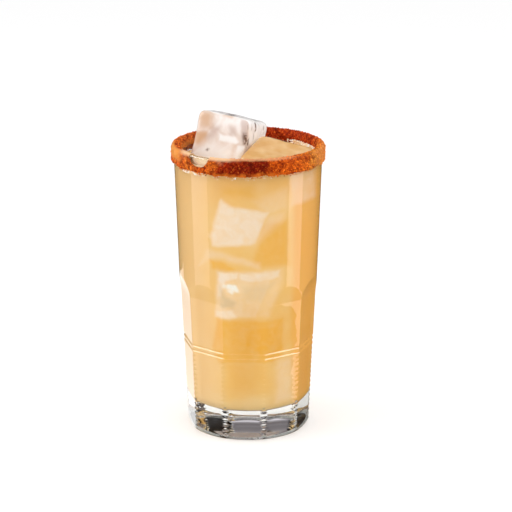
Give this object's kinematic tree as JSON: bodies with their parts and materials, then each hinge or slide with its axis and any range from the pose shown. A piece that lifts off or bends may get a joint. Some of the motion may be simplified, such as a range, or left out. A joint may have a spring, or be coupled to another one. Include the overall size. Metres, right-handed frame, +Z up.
{
  "type": "paloma cocktail in glass",
  "caption": "Tall tumbler with flat panels and notched corners, full of cloudy amber grapefruit cocktail, with ice standing out of it and chili and salt on its rim.",
  "frame": {"origin": "centre of the tumbler's foot, on the surface that it stands on", "axes": "+Z up along the tumbler's axis, -Y towards the viewer of the picture, +X to that viewer's right"},
  "size_m": [0.0786, 0.0786, 0.1659],
  "materials": {
    "glass": "clear pressed glass, polished",
    "drink": "cloudy liquid with a smooth wet surface",
    "clear_ice": "melting ice, wet and slightly milky",
    "wet_ice": "melting ice, wet with the drink",
    "chili_salt": "coarse grains of chili and salt, damp"
  },
  "bodies": {
    "root": {"glass": "glass", "drink": "drink", "ice_cube_left": "clear_ice", "ice_cube_right": "wet_ice", "chili_salt_rim": "chili_salt"}
  },
  "joints": []
}
